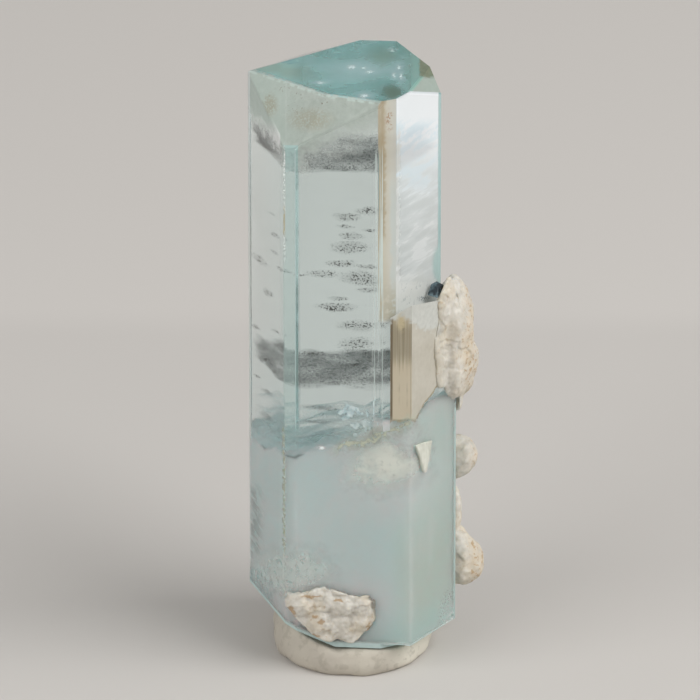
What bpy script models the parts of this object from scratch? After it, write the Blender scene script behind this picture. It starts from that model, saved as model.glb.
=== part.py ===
"""An aquamarine prism with albite and a schorl chip on it, standing in a dab of mineral tack.

Metres, +Z up. The origin is the centre of the tack's flat underside. +Y runs through the crystal's
back face, and +X towards the side that carries most of the albite.
"""
import math

import bmesh
import bpy
from mathutils import Matrix, Vector, noise

# Driving dimensions
CORNER_RADIUS = 0.0083      # the prism, axis to corner
AXIS_X = -0.00065           # the prism's axis stands a little to one side of the tack's centre
TURN = math.radians(-5)     # the prism turned about its axis
TOP_Z = 0.0540              # the end face, at the back
FOOT_Z = 0.0025             # the broken lower end
RIGHT_FACE_OUT = 0.00038    # the right face lies further out than a regular hexagon's
LEFT_FACE_OUT = 0.00015     # and so does the left one
BACK_RIGHT_FACE_IN = 0.00026    # the face behind the right one lies nearer
STEP_OUT = 0.00158          # how far the growth layer stands out of the right face
STEP_OUT_BACK = 0.0009      # and out of the face behind it
STEP_LEFT = 0.00455         # its left end, right of the axis
SKIRT_LEFT = 0.00320        # lower down it reaches further left, over the narrow face
STEP_FOOT_Z = 0.0029
CLEARANCE = 0.0003          # between one piece and the next
TACK_HALF_WIDTH = 0.0070
TACK_HALF_DEPTH = 0.0080
TACK_HEIGHT = 0.0047        # at its highest, where it fills the chipped corner

FACE_DISTANCE = CORNER_RADIUS * math.cos(math.radians(30))
BLANK_SIZE = 0.16           # the block that a faceted solid is cleaved from
AXIS = Vector((AXIS_X, 0.0, 0.0))
UP = Vector((0.0, 0.0, 1.0))


def bearing(degrees):
    """The level direction at this bearing, measured from the prism's own right-hand corner."""
    angle = math.radians(degrees) + TURN
    return Vector((math.cos(angle), math.sin(angle), 0.0))


def through(a, b, c):
    """The plane through three points, as a point and the normal that faces up."""
    a, b, c = Vector(a), Vector(b), Vector(c)
    normal = (b - a).cross(c - a).normalized()
    return a, normal if normal.z > 0 else -normal


def finish_mesh(name, bm, material):
    bmesh.ops.recalc_face_normals(bm, faces=bm.faces)
    mesh = bpy.data.meshes.new(name)
    bm.to_mesh(mesh)
    bm.free()
    piece = bpy.data.objects.new(name, mesh)
    bpy.context.collection.objects.link(piece)
    if material:
        mesh.materials.append(material)
    return piece


def hide_guide(guide):
    guide.hide_render = True
    guide.display_type = "WIRE"
    return guide


def boolean(piece, guide, operation):
    step = piece.modifiers.new(f"{operation.lower()}_{guide.name}", "BOOLEAN")
    step.object = guide
    step.operation = operation
    step.solver = "EXACT"


def material(name, colour, roughness, metallic=0.0):
    made = bpy.data.materials.new(name)
    made.use_nodes = True
    shader = made.node_tree.nodes["Principled BSDF"]
    shader.inputs["Base Color"].default_value = (*colour, 1.0)
    shader.inputs["Roughness"].default_value = roughness
    shader.inputs["Metallic"].default_value = metallic
    return made


def cleaved(planes):
    """A convex solid, cut out of a block by planes given as (point, outward normal)."""
    bm = bmesh.new()
    bmesh.ops.create_cube(bm, size=BLANK_SIZE)
    for point, normal in planes:
        everything = bm.verts[:] + bm.edges[:] + bm.faces[:]
        cut = bmesh.ops.bisect_plane(
            bm, geom=everything, plane_co=point, plane_no=normal, clear_outer=True, dist=1e-7
        )
        rim = [item for item in cut["geom_cut"] if isinstance(item, bmesh.types.BMEdge)]
        if rim:
            bmesh.ops.edgeloop_fill(bm, edges=rim)
    return bm


def grown(distances, top, foot, grow=0.0):
    """The planes of a prism: its side faces by bearing and distance, then its two ends."""
    planes = [(AXIS + bearing(at) * (far + grow), bearing(at)) for at, far in distances]
    ends = [(point + normal * grow, normal) for point, normal in (*top, *foot)]
    return planes + ends


def prism_sides():
    """Six first-order faces, and the two narrow second-order faces between them at the front."""
    front, left, right = 270, 210, 330
    return [
        (front, FACE_DISTANCE),
        (right, FACE_DISTANCE + RIGHT_FACE_OUT),
        (30, FACE_DISTANCE - BACK_RIGHT_FACE_IN),
        (90, FACE_DISTANCE),
        (150, FACE_DISTANCE),
        (left, FACE_DISTANCE + LEFT_FACE_OUT),
        (240, CORNER_RADIUS - 0.00025),
        (300, CORNER_RADIUS - 0.00022),
    ]


def layer_sides():
    """The growth layer's sides: outside the prism on two faces, inside it on the others."""
    right, back_right, back, front, left = 330, 30, 90, 270, 180
    return [
        (right, FACE_DISTANCE + RIGHT_FACE_OUT + STEP_OUT),
        (back_right, FACE_DISTANCE - BACK_RIGHT_FACE_IN + STEP_OUT_BACK),
        (front, FACE_DISTANCE),
        (back, FACE_DISTANCE - 0.0022),
        (left, -STEP_LEFT),
    ]


def head_planes():
    """The end face, the two steep etched facets at its front, and the chipped corners."""
    flat = through((-0.0089, 0.0007, 0.0541), (0.0039, -0.0067, 0.0544), (0.0041, 0.0068, TOP_Z))
    left_facet = through(
        (-0.00895, 0.0007, 0.0541), (-0.0062, -0.0019, 0.0541), (-0.0057, -0.0066, 0.0493)
    )
    front_facet = through(
        (-0.0048, -0.0070, 0.0499), (0.00265, -0.00748, 0.0543), (-0.00326, -0.0052, 0.0542)
    )
    back_corner = through(
        (-0.00892, 0.00072, 0.0538), (0.00117, 0.00735, 0.0540), (-0.00416, 0.00752, 0.0525)
    )
    right_corner = through(
        (0.00483, -0.00537, 0.05435), (0.00764, -0.00137, 0.0525), (0.00578, -0.0021, 0.0543)
    )
    return [flat, left_facet, front_facet, back_corner, right_corner]


def foot_planes():
    """The broken lower end: flat, with the left corner chipped away."""
    flat = (Vector((0.0, 0.0, FOOT_Z)), -UP)
    point, normal = through(
        (-0.0015, -0.0072, FOOT_Z), (-0.00587, -0.006, 0.0043), (-0.00892, 0.00072, 0.0051)
    )
    return [flat, (point, -normal)]


def ledge_planes():
    """The growth layer's ledge, which falls away towards the right-hand corner."""
    return [through((0.0029, -0.0076, 0.0340), (0.0050, -0.0076, 0.0353), (0.0080, -0.0020, 0.0330))]


def prism_solid(grow=0.0):
    return cleaved(grown(prism_sides(), head_planes(), foot_planes(), grow))


def layer_solid(grow=0.0):
    foot = [(Vector((0.0, 0.0, STEP_FOOT_Z)), -UP)]
    return cleaved(grown(layer_sides(), ledge_planes(), foot, grow))


def skirt_solid():
    """Low down the layer covers the narrow face too, so that the front is one flat face there."""
    sides = [(at, far) if at != 180 else (at, -SKIRT_LEFT) for at, far in layer_sides()]
    top = [through((0.0020, -0.0072, 0.0231), (0.0052, -0.0072, 0.0240), (0.0036, -0.0050, 0.0236))]
    foot = [(Vector((0.0, 0.0, STEP_FOOT_Z)), -UP)]
    return cleaved(grown(sides, top, foot))


def aquamarine():
    beryl = material("aquamarine", (0.55, 0.74, 0.72), 0.08)
    crystal = finish_mesh("aquamarine_crystal", prism_solid(), beryl)
    for name, solid in (("growth_layer", layer_solid()), ("skirt", skirt_solid())):
        boolean(crystal, hide_guide(finish_mesh(name, solid, None)), "UNION")
    return crystal


def clearance_guides():
    """The crystal's two solids, larger all round by the clearance, to cut its neighbours back."""
    around_prism = finish_mesh("around_prism", prism_solid(CLEARANCE), None)
    around_layer = finish_mesh("around_layer", layer_solid(CLEARANCE), None)
    return [hide_guide(around_prism), hide_guide(around_layer)]


def lump_mesh(centre, radii, tilt, rough, seed, divisions=3):
    """A rounded lump: a ball stretched to its radii, leaned over and roughened by smooth noise."""
    bm = bmesh.new()
    bmesh.ops.create_icosphere(bm, subdivisions=divisions, radius=1.0)
    for vert in bm.verts:
        swell = noise.noise(vert.co * 1.3 + Vector((seed, 0.0, 0.0)))
        grain = noise.noise(vert.co * 3.7 + Vector((0.0, seed, 0.0)))
        vert.co *= 1.0 + rough * (swell + 0.4 * grain)
    bmesh.ops.scale(bm, vec=radii, verts=bm.verts)
    bmesh.ops.rotate(bm, matrix=Matrix.Rotation(math.radians(tilt), 3, "Y"), verts=bm.verts)
    bmesh.ops.translate(bm, vec=centre, verts=bm.verts)
    return bm


def albite_lump(name, blobs, stone, guides):
    """One feldspar piece: its blobs joined together, then cut back clear of the crystal."""
    first, *others = blobs
    piece = finish_mesh(name, lump_mesh(*first), stone)
    for count, blob in enumerate(others):
        part = hide_guide(finish_mesh(f"{name}_blob_{count}", lump_mesh(*blob), None))
        boolean(piece, part, "UNION")
    for guide in guides:
        boolean(piece, guide, "DIFFERENCE")
    return piece


def albite(guides):
    stone = material("albite", (0.62, 0.56, 0.45), 0.7)
    # Each blob: centre, radii, lean in degrees, roughness, seed, subdivisions
    cluster = [
        ((0.0090, 0.0002, 0.0312), (0.0015, 0.0030, 0.0034), -8, 0.20, 3.1, 3),
        ((0.0093, -0.0004, 0.0268), (0.0015, 0.0027, 0.0034), 4, 0.18, 8.4, 3),
        ((0.0083, -0.0006, 0.0332), (0.0011, 0.0016, 0.0016), 20, 0.16, 5.7, 2),
        ((0.0088, 0.0022, 0.0285), (0.0013, 0.0022, 0.0042), 0, 0.20, 4.4, 3),
        ((0.0087, -0.0011, 0.0239), (0.0010, 0.0013, 0.0014), 0, 0.16, 7.7, 2),
    ]
    middle = [
        ((0.0092, 0.0009, 0.0173), (0.0017, 0.0018, 0.0019), 10, 0.18, 1.9, 3),
        ((0.0086, 0.0018, 0.0163), (0.0014, 0.0017, 0.0017), 10, 0.18, 5.9, 2),
    ]
    lower = [
        ((0.0095, 0.0009, 0.0074), (0.0019, 0.0020, 0.0026), -12, 0.16, 6.2, 3),
        ((0.0088, 0.0022, 0.0080), (0.0015, 0.0018, 0.0024), 0, 0.18, 2.2, 2),
    ]
    foot = [
        ((-0.0042, -0.0068, 0.0063), (0.0017, 0.0013, 0.0016), 14, 0.20, 2.6, 3),
        ((-0.0013, -0.0071, 0.0053), (0.0021, 0.0013, 0.0024), 0, 0.18, 9.3, 3),
        ((0.0009, -0.0072, 0.0064), (0.0014, 0.0012, 0.0017), -10, 0.18, 1.1, 2),
    ]
    return [
        albite_lump("albite_cluster", cluster, stone, guides),
        albite_lump("albite_knob_middle", middle, stone, guides),
        albite_lump("albite_knob_lower", lower, stone, guides),
        albite_lump("albite_foot", foot, stone, guides),
    ]


def on_layer_face(along, z, proud):
    """A point on the growth layer's right face: along it, up it and proud of it."""
    out = bearing(330)
    across = UP.cross(out)
    return AXIS + out * (FACE_DISTANCE + RIGHT_FACE_OUT + STEP_OUT + proud) + across * along + UP * z


def albite_tooth():
    """A thin blade that tapers downwards, lying against the growth layer's right face."""
    stone = bpy.data.materials["albite"]
    out = bearing(330)
    across = UP.cross(out)
    root = on_layer_face(-0.0013, 0.0216, 0.0)
    left_edge = (root - across * 0.0012, (-across + UP * -0.42).normalized())
    right_edge = (root + across * 0.0012, (across + UP * -0.42).normalized())
    planes = [
        (root + out * CLEARANCE, -out),
        (root + out * 0.0009, (out + UP * 0.10).normalized()),
        (root + UP * 0.0002, (UP + across * 0.15).normalized()),
        left_edge,
        right_edge,
        (root - UP * 0.0026, -UP),
    ]
    return finish_mesh("albite_tooth", cleaved(planes), stone)


def schorl_chip():
    """A broken dark prism lying on the ledge, against the crystal's right face."""
    dark = material("schorl", (0.03, 0.045, 0.05), 0.25)
    out = bearing(330)
    across = UP.cross(out)
    middle = AXIS + out * (FACE_DISTANCE + RIGHT_FACE_OUT + 0.0008) + across * 0.0019 + UP * 0.0348
    planes = [
        (middle - out * 0.0005, -out),
        (middle + out * 0.00045, (out + UP * 0.35).normalized()),
        (middle + across * 0.00055, (across - UP * 0.2).normalized()),
        (middle - across * 0.0006, (-across + UP * 0.7).normalized()),
        (middle + UP * 0.0005, (UP + out * 0.2).normalized()),
        (middle - UP * 0.0005, (-UP - across * 0.35).normalized()),
    ]
    return finish_mesh("schorl_chip", cleaved(planes), dark)


def oval_ring(bm, z, inset, segments=56, squareness=2.35):
    """One level ring of the tack's outline, a slightly squared oval."""
    ring = bmesh.ops.create_circle(bm, segments=segments, radius=1.0)["verts"]
    for vert in ring:
        x, y = vert.co.x, vert.co.y
        size = (abs(x) ** squareness + abs(y) ** squareness) ** (-1.0 / squareness)
        vert.co = (x * size * (TACK_HALF_WIDTH - inset), y * size * (TACK_HALF_DEPTH - inset), z)
    return list({edge for vert in ring for edge in vert.link_edges})


def tack_pad(seat_planes):
    """The dab of tack: a puck with bulging sides, and a seat pressed into it by the crystal's foot."""
    putty = material("mineral_tack", (0.60, 0.56, 0.48), 0.85)
    bm = bmesh.new()
    levels = [(0.0, 0.00045), (0.0004, 0.00012), (0.0011, 0.0), (0.0018, 0.0001), (0.0032, 0.0005)]
    levels.append((TACK_HEIGHT, 0.0013))
    rings = [oval_ring(bm, z, inset) for z, inset in levels]
    for lower, upper in zip(rings, rings[1:]):
        bmesh.ops.bridge_loops(bm, edges=lower + upper)
    bmesh.ops.edgeloop_fill(bm, edges=rings[0])
    bmesh.ops.edgeloop_fill(bm, edges=rings[-1])
    pad = finish_mesh("tack_pad", bm, putty)
    seat = [(point + normal * CLEARANCE, normal) for point, normal in seat_planes]
    boolean(pad, hide_guide(finish_mesh("seat", cleaved(seat), None)), "DIFFERENCE")
    return pad


def clear_scene():
    for leftover in list(bpy.data.objects):
        bpy.data.objects.remove(leftover, do_unlink=True)


def main():
    clear_scene()
    aquamarine()
    albite(clearance_guides())
    albite_tooth()
    schorl_chip()
    tack_pad(foot_planes())


main()
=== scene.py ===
# %% [markdown]
# # An aquamarine crystal with albite, standing in a dab of mineral tack
#
# Aquamarine is beryl coloured by a trace of iron. It grows as a six-sided prism. This one is clear in
# its upper half and cloudy below, and white albite grew on its right side and at its foot. The packed
# CAD model is the fixed frame: every piece made here sits where a solid of that frame sits.

# %% Load the frame
import math

import bmesh
import bpy
from mathutils import Matrix, Vector, noise


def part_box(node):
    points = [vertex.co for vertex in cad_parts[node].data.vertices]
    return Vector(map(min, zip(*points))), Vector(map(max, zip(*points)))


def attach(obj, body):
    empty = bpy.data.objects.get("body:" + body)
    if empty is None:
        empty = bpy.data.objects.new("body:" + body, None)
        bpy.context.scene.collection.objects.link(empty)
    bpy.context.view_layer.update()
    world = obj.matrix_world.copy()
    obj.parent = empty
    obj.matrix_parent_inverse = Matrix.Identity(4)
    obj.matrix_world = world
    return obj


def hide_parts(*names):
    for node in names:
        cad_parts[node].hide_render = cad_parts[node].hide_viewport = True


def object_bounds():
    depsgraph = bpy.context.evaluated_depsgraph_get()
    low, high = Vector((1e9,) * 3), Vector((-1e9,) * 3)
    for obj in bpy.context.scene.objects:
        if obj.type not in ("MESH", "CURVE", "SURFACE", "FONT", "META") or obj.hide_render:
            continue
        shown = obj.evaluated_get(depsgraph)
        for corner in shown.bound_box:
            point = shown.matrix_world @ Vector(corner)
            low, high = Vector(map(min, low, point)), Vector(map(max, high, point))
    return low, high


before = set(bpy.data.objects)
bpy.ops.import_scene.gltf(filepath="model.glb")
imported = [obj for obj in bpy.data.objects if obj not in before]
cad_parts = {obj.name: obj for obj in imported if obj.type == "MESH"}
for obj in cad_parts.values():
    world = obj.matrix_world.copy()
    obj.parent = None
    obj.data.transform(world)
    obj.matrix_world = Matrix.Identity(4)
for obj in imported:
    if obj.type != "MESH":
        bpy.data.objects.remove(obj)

cad_low, cad_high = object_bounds()
MM = 0.001
UP = Vector((0.0, 0.0, 1.0))
print("nodes:", sorted(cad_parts))
print("CAD box in mm:", [round(side / MM, 2) for side in cad_high - cad_low])

# %% [markdown]
# ## Shader maths as plain expressions
#
# A material is a graph of nodes. Wiring each Math node by hand hides the formula, so a small class
# wraps one output and overloads the operators: `1 - mask * 0.5` then builds its own Math nodes. Every
# other node comes from one method, which sets the node's own settings first and its sockets after.
#
# Growth marks, stains and frost sit at known places on the crystal. They are laid out in two lengths
# in millimetres: `across`, which is the x coordinate, and `rise`, which is the height plus the depth
# times a slope. Points on one slanting line have the same rise, so marks on differently turned faces
# can share one flat drawing.

# %% A socket that can be used in arithmetic
ELEVATION = math.radians(24.5)      # how far the camera looks down
SLOPE = math.tan(ELEVATION)


class Wire:
    """One output of a node that the operators join with Math nodes."""

    def __init__(self, look, socket):
        self.look = look
        self.socket = socket

    def math(self, operation, *others):
        values = dict(enumerate((self, *others)))
        return self.look.node("ShaderNodeMath", {"operation": operation}, values)

    def __add__(self, other):
        return self.math("ADD", other)

    def __sub__(self, other):
        return self.math("SUBTRACT", other)

    def __rsub__(self, other):
        return self.look.node("ShaderNodeMath", {"operation": "SUBTRACT"}, {0: other, 1: self})

    def __mul__(self, other):
        return self.math("MULTIPLY", other)

    def __truediv__(self, other):
        return self.math("DIVIDE", other)

    __radd__ = __add__
    __rmul__ = __mul__

    def most(self, other):
        return self.math("MAXIMUM", other)

    def least(self, other):
        return self.math("MINIMUM", other)

    def size(self):
        return self.math("ABSOLUTE")

    def above(self, edge, softness):
        """0 below the edge and 1 above it, with a smooth step this wide."""
        settings = {"interpolation_type": "SMOOTHSTEP"}
        limits = {"From Min": edge - softness / 2, "From Max": edge + softness / 2}
        return self.look.node("ShaderNodeMapRange", settings, {"Value": self, **limits})

    def below(self, edge, softness):
        return 1 - self.above(edge, softness)

    def between(self, low, high, softness):
        return self.above(low, softness) * self.below(high, softness)

    def near(self, value, gap, softness):
        """1 where this is less than a gap away from a value."""
        return (self - value).size().below(gap, softness)

    def sway(self, width):
        """Noise made to swing round 0, so that it moves an edge both ways."""
        return (self - 0.5) * width


print("a Wire turns + - * / into Math nodes")


# %% A material that is being made
class Look:
    """A material's node tree, with short names for the nodes used most."""

    def __init__(self, name):
        self.material = bpy.data.materials.new(name)
        self.material.use_nodes = True
        self.tree = self.material.node_tree
        self.tree.nodes.clear()
        self.output = self.tree.nodes.new("ShaderNodeOutputMaterial")
        coordinate = self.tree.nodes.new("ShaderNodeTexCoord")
        self.place = Wire(self, coordinate.outputs["Object"])
        split = self.node("ShaderNodeSeparateXYZ", {}, {"Vector": self.place}, out=None)
        self.x, self.y, self.z = (Wire(self, split.outputs[axis]) / MM for axis in "XYZ")
        self.rise = self.z + self.y * SLOPE

    def node(self, kind, settings, sockets, out=0):
        """Adds a node. Its settings go first, then values or links. Gives its output as a Wire."""
        made = self.tree.nodes.new(kind)
        for key, value in settings.items():
            if key == "stops":
                self.set_stops(made.color_ramp, value)
            else:
                setattr(made, key, value)
        for key, value in sockets.items():
            if isinstance(value, Wire):
                self.tree.links.new(value.socket, made.inputs[key])
            else:
                made.inputs[key].default_value = value
        return made if out is None else Wire(self, made.outputs[out])

    def set_stops(self, ramp, stops):
        while len(ramp.elements) < len(stops):
            ramp.elements.new(0.5)
        for element, (position, colour) in zip(ramp.elements, stops):
            element.position = position
            element.color = (*colour, 1.0)

    def noise(self, scale, detail=2.0, stretch=(1.0, 1.0, 1.0), shift=(0.0, 0.0, 0.0), rough=0.5, on=None):
        """Noise with about this many lumps in a millimetre, stretched along the axes."""
        unit = scale if on else scale / MM
        sizes = tuple(unit / part for part in stretch)
        values = {"Vector": on or self.place, "Location": shift, "Scale": sizes}
        moved = self.node("ShaderNodeMapping", {}, values)
        values = {"Vector": moved, "Scale": 1.0, "Detail": detail, "Roughness": rough}
        return self.node("ShaderNodeTexNoise", {}, values)

    def joined(self, first, second):
        """Two numbers as the x and y of a vector."""
        return self.node("ShaderNodeCombineXYZ", {}, {"X": first, "Y": second})

    def ramp(self, factor, *stops):
        """Colours at places along a factor."""
        return self.node("ShaderNodeValToRGB", {"stops": stops}, {"Fac": factor})

    def mix(self, factor, first, second):
        """From the first colour to the second."""
        first, second = (c if isinstance(c, Wire) else (*c, 1.0) for c in (first, second))
        settings = {"data_type": "RGBA"}
        return self.node("ShaderNodeMix", settings, {"Factor": factor, "A": first, "B": second}, out=2)

    def along(self, direction):
        """How far a point lies along this direction, in millimetres."""
        settings = {"operation": "DOT_PRODUCT"}
        return self.node("ShaderNodeVectorMath", settings, {0: self.place, 1: direction}, out="Value") / MM

    def on_plane(self, plane, within=0.12):
        """1 on a face that lies in this plane and 0 off it. The plane is a point and a normal."""
        point, normal = plane
        return self.along(normal).near(point.dot(normal) / MM, within, within / 2)

    def spot(self, across, height, half_width, half_height, softness=0.5, along=None):
        """1 inside an ellipse laid out in across and rise, or another pair of lengths."""
        first, second = along or (self.x, self.rise)
        side = (first - across) / half_width
        up = (second - height) / half_height
        reach = (side * side + up * up).math("SQRT")
        return reach.below(1.0, softness)

    def bump(self, height, distance, strength=1.0):
        values = {"Height": height, "Distance": distance, "Strength": strength}
        return self.node("ShaderNodeBump", {}, values)

    def shader(self, colour, **sockets):
        """A Principled shader. Socket names are written with _ for a space."""
        named = {key.replace("_", " "): value for key, value in sockets.items()}
        named["Base Color"] = colour if isinstance(colour, Wire) else (*colour, 1.0)
        return self.node("ShaderNodeBsdfPrincipled", {}, named)

    def blend(self, factor, first, second):
        """From the first shader to the second."""
        return self.node("ShaderNodeMixShader", {}, {0: factor, 1: first, 2: second})

    def finish(self, surface):
        self.tree.links.new(surface.socket, self.output.inputs["Surface"])
        return self.material


class Deposit:
    """What covers a clear face: patches laid one over another, each with a cover and a colour."""

    def __init__(self, look, colour):
        self.look = look
        self.colour = colour
        self.cover = None

    def add(self, mask, colour, cover=1.0):
        self.colour = self.look.mix(mask, self.colour, colour)
        amount = mask * cover
        self.cover = amount if self.cover is None else self.cover.most(amount)


print("shader helpers ready")

# %% [markdown]
# ## The stage
#
# Clear stone shows its surroundings more than itself: its upright faces mirror the table beside it,
# and its end face mirrors the room. So the stage comes first. The floor is one large pale plane and the
# sky is soft. A white sheet that glows lies on the table to the right, just where the right face
# mirrors the table, and gives that face its bright upper end. The camera has a long lens, as for a
# product shot, so upright edges stay parallel.

# %% Floor
PAPER = (0.6, 0.575, 0.545)
FLOOR_HALF = 2.0            # metres
LIGHTER_FROM = 67.0          # mm: behind this line the paper lies a little nearer the light


def made_object(name, bm, material=None):
    """Turns a bmesh into an object whose origin is the frame's origin."""
    mesh = bpy.data.meshes.new(name)
    bm.to_mesh(mesh)
    bm.free()
    piece = bpy.data.objects.new(name, mesh)
    bpy.context.collection.objects.link(piece)
    if material:
        mesh.materials.append(material)
    return piece


def toned(colour, tone):
    """A colour made lighter or darker."""
    return tuple(tone * part for part in colour)


paper = Look("paper_floor")
fibre = paper.noise(0.02, detail=3.0)
# painted light: behind that line the flat paper is coloured a little lighter
far_paper_light = paper.y.above(LIGHTER_FROM, 8.0)
near = paper.mix(fibre, toned(PAPER, 0.985), toned(PAPER, 1.015))
shade = paper.mix(far_paper_light, near, toned(PAPER, 1.06))
paper.finish(paper.shader(shade, Roughness=0.8))

bm = bmesh.new()
bmesh.ops.create_grid(bm, x_segments=1, y_segments=1, size=FLOOR_HALF)
floor = made_object("floor", bm, paper.material)
print("floor at height", cad_low.z)

# %% Sky
SKY_LOW = (0.62, 0.6, 0.58)
SKY_HIGH = (0.98, 0.97, 0.96)
SKY_STRENGTH = 0.44

world = bpy.data.worlds.new("studio")
bpy.context.scene.world = world
world.use_nodes = True
sky = world.node_tree
background = sky.nodes["Background"]
direction = sky.nodes.new("ShaderNodeTexCoord")
height = sky.nodes.new("ShaderNodeSeparateXYZ")
ramp = sky.nodes.new("ShaderNodeValToRGB")
for element, position, colour in zip(ramp.color_ramp.elements, (0.25, 0.8), (SKY_LOW, SKY_HIGH)):
    element.position = position
    element.color = (*colour, 1.0)
sky.links.new(direction.outputs["Generated"], height.inputs[0])
sky.links.new(height.outputs["Z"], ramp.inputs["Fac"])
sky.links.new(ramp.outputs["Color"], background.inputs["Color"])
background.inputs["Strength"].default_value = SKY_STRENGTH
print("sky strength", SKY_STRENGTH)


# %% Lights
LIT_POINT = Vector((0.0, 0.0, 0.02))      # metres: what both lights face


def soft_box(name, centre, width, height, watts):
    """A rectangular light that faces the crystal. Cameras don't see it, but mirrors do."""
    lamp = bpy.data.lights.new(name, "AREA")
    lamp.shape = "RECTANGLE"
    lamp.size = width
    lamp.size_y = height
    lamp.energy = watts
    box = bpy.data.objects.new(name, lamp)
    box.location = centre
    box.rotation_euler = (LIT_POINT - Vector(centre)).to_track_quat("-Z", "Y").to_euler()
    box.visible_camera = False
    bpy.context.collection.objects.link(box)


soft_box("key_box", (0.42, -0.2, 0.46), 0.46, 0.46, 3.0)
soft_box("fill_box", (-0.44, -0.32, 0.3), 0.45, 0.45, 1.5)

# %% Glowing sheet for the right face to mirror
SHEET_START = 74.0          # mm to the right of the crystal's middle, where the sheet begins
SHEET_END = 190.0
SHEET_HALF_DEPTH = 22.0
SHEET_BACK = 27.0           # mm behind the crystal's middle to the sheet's middle
SHEET_HEIGHT = 1.0
SHEET_GLOW = 3.1
DIM_END = 0.14              # the glow at the sheet's near end, as a share of the full glow
BLUISH = (0.84, 0.92, 1.0)

glow = Look("sheet_glow")
ramp_up = glow.x.above(97.0, 24.0) * (1.0 - DIM_END) + DIM_END
tint = glow.mix(glow.x.above(106.0, 8.0), BLUISH, (1.0, 1.0, 1.0))
amount = glow.mix(ramp_up, (0.0, 0.0, 0.0), tint)
glow.finish(glow.node("ShaderNodeEmission", {}, {"Color": amount, "Strength": SHEET_GLOW}))
bm = bmesh.new()
bmesh.ops.create_grid(bm, x_segments=1, y_segments=1, size=1.0)
half_size = Vector(((SHEET_END - SHEET_START) / 2, SHEET_HALF_DEPTH, 1.0)) * MM
middle = Vector(((SHEET_END + SHEET_START) / 2, SHEET_BACK, SHEET_HEIGHT)) * MM
bmesh.ops.scale(bm, vec=half_size, verts=bm.verts)
bmesh.ops.translate(bm, vec=middle, verts=bm.verts)
glowing_sheet = made_object("glowing_sheet", bm, glow.material)
for kind in ("camera", "diffuse", "volume_scatter", "shadow"):
    setattr(glowing_sheet, "visible_" + kind, False)
print("glowing sheet from", SHEET_START, "to", SHEET_END, "mm")

# %% Camera
LENS = 600.0
IMAGE_WIDTH = 700                   # pixels
PIXELS_IN_A_MM = 11.5               # at the crystal
FRAME_WIDTH = IMAGE_WIDTH / PIXELS_IN_A_MM * MM
AIM = Vector((-0.217, 0.0, 27.72)) * MM
MANY_BOUNCES = 24                   # light passes many faces and films on its way through the stone
MANY_FILMS = 32

camera_data = bpy.data.cameras.new("camera")
camera_data.lens = LENS
distance = FRAME_WIDTH / camera_data.sensor_width * LENS
camera_data.clip_start = 0.01       # metres
camera_data.clip_end = 10.0
camera = bpy.data.objects.new("camera", camera_data)
VIEW = Vector((0.0, math.cos(ELEVATION), -math.sin(ELEVATION)))
camera.location = AIM - VIEW * distance
camera.rotation_euler = (math.radians(90) - ELEVATION, 0.0, 0.0)
bpy.context.collection.objects.link(camera)
scene = bpy.context.scene
bpy.context.scene.camera = camera
scene.view_settings.view_transform = "Standard"
scene.cycles.max_bounces = MANY_BOUNCES
scene.cycles.transmission_bounces = MANY_BOUNCES
scene.cycles.transparent_max_bounces = MANY_FILMS
print("camera", round(distance, 3), "m away")

# %% [markdown]
# ## The aquamarine prism
#
# The solid in the frame already has the crystal's real faces. A real crystal's edges are never
# razor sharp, and they catch the light as thin bright lines, so a merged copy of the frame's mesh gets
# a very narrow bevel. It is see-through by plain transmission, with beryl's refractive index, and an
# absorption that takes a little red: thin glass of it is nearly clear, and a long way through is teal.

# %% Helpers that measure the crystal's faces
AXIS = Vector((-0.65, 0.0, 0.0)) * MM       # where the prism's long axis stands
TURN = -5.0                                 # degrees that the prism is turned
BERYL_INDEX = 1.57
MERGE_WITHIN = 0.002 * MM
ABOVE_THE_LAYER = 40 * MM
BELOW_THE_LAYER_TOP = 30 * MM


def bearing(degrees):
    """The level direction at this bearing, measured from the prism's right-hand corner."""
    angle = math.radians(degrees + TURN)
    return Vector((math.cos(angle), math.sin(angle), 0.0))


def merged_copy(node):
    """A bmesh of a CAD node's mesh, with its loose triangles joined and its flat faces whole."""
    bm = bmesh.new()
    bm.from_mesh(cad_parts[node].data)
    bmesh.ops.remove_doubles(bm, verts=bm.verts, dist=MERGE_WITHIN)
    bmesh.ops.dissolve_limit(bm, angle_limit=math.radians(1), verts=bm.verts, edges=bm.edges)
    return bm


def reach(node, direction, low=-1.0, high=1.0):
    """How far a node reaches from the crystal's axis along a direction, between two heights."""
    corners = [v.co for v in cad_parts[node].data.vertices if low < v.co.z < high]
    return max((corner - AXIS).dot(direction) for corner in corners)


FACES = (30, 90, 150, 210, 270, 330, 240, 300)      # bearings; 270 is the front face, 330 the right one
upper_faces = {at: reach("aquamarine_crystal", bearing(at), low=ABOVE_THE_LAYER) for at in FACES}
lower_faces = {at: reach("aquamarine_crystal", bearing(at), high=BELOW_THE_LAYER_TOP) for at in FACES}
print("upper faces in mm:", {at: round(far / MM, 2) for at, far in upper_faces.items()})
print("lower faces in mm:", {at: round(far / MM, 2) for at, far in lower_faces.items()})


def through(a, b, c):
    """The plane through three points given in millimetres, as a point and the normal that faces up."""
    a, b, c = (Vector(corner) * MM for corner in (a, b, c))
    normal = (b - a).cross(c - a).normalized()
    return a, normal if normal.z > 0 else -normal


def upright(at, faces):
    """The plane of an upright face, as a point and its outward normal."""
    return AXIS + bearing(at) * faces[at], bearing(at)


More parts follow.
